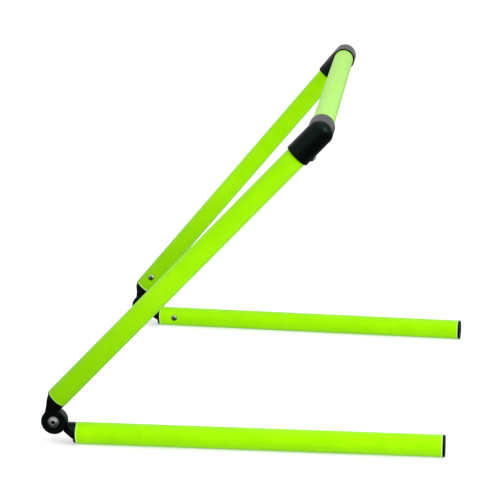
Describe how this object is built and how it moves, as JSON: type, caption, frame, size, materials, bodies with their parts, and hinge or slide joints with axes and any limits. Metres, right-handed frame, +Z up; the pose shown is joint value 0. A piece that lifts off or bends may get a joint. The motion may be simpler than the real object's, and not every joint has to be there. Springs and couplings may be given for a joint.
{
  "type": "agility hurdle",
  "caption": "Folding agility hurdle: neon tube crossbar on leaning uprights, each hinged to a ground foot by a bolted black plastic hinge.",
  "frame": {"origin": "on the ground under the middle of the bounding box", "axes": "+X along the crossbar to the right-hand side, +Y from the hinges to the free ends of the feet, +Z up"},
  "size_m": [0.631, 0.4884, 0.4192],
  "materials": {
    "neon_tube": "extruded PVC tube, neon yellow-green, semi-gloss",
    "black_plastic": "moulded black nylon, satin",
    "bolt_steel": "zinc-plated steel, slightly dull",
    "screw_steel": "zinc-plated steel, bright",
    "nylon": "natural nylon"
  },
  "bodies": {
    "frame": {"crossbar_tube": "neon_tube", "upright_tube_right": "neon_tube", "elbow_right": "black_plastic", "elbow_upright_screw_right": "screw_steel", "elbow_bar_screw_right": "screw_steel", "hinge_upper_right": "black_plastic", "upright_screw_right": "screw_steel", "hinge_bolt_right": "bolt_steel", "friction_washer_right": "nylon", "nut_washer_right": "bolt_steel", "lock_nut_right": "bolt_steel", "upright_tube_left": "neon_tube", "elbow_left": "black_plastic", "elbow_upright_screw_left": "screw_steel", "elbow_bar_screw_left": "screw_steel", "hinge_upper_left": "black_plastic", "upright_screw_left": "screw_steel", "hinge_bolt_left": "bolt_steel", "friction_washer_left": "nylon", "nut_washer_left": "bolt_steel", "lock_nut_left": "bolt_steel"},
    "right_foot": {"foot_tube_right": "neon_tube", "foot_plug_right": "black_plastic", "hinge_lower_right": "black_plastic", "foot_screw_right": "screw_steel"},
    "left_foot": {"foot_tube_left": "neon_tube", "foot_plug_left": "black_plastic", "hinge_lower_left": "black_plastic", "foot_screw_left": "screw_steel"}
  },
  "joints": [
    {"name": "right_hinge", "type": "hinge", "parent": "frame", "child": "right_foot", "pos_m": [0.3, -0.22811, 0.02775], "axis": [1, 0, 0], "range_deg": [-44, 45.99]},
    {"name": "left_hinge", "type": "hinge", "parent": "frame", "child": "left_foot", "pos_m": [-0.29829, -0.22811, 0.02772], "axis": [0.9951, -0.0756, 0.0644], "range_deg": [-40.31, 49.68]}
  ]
}
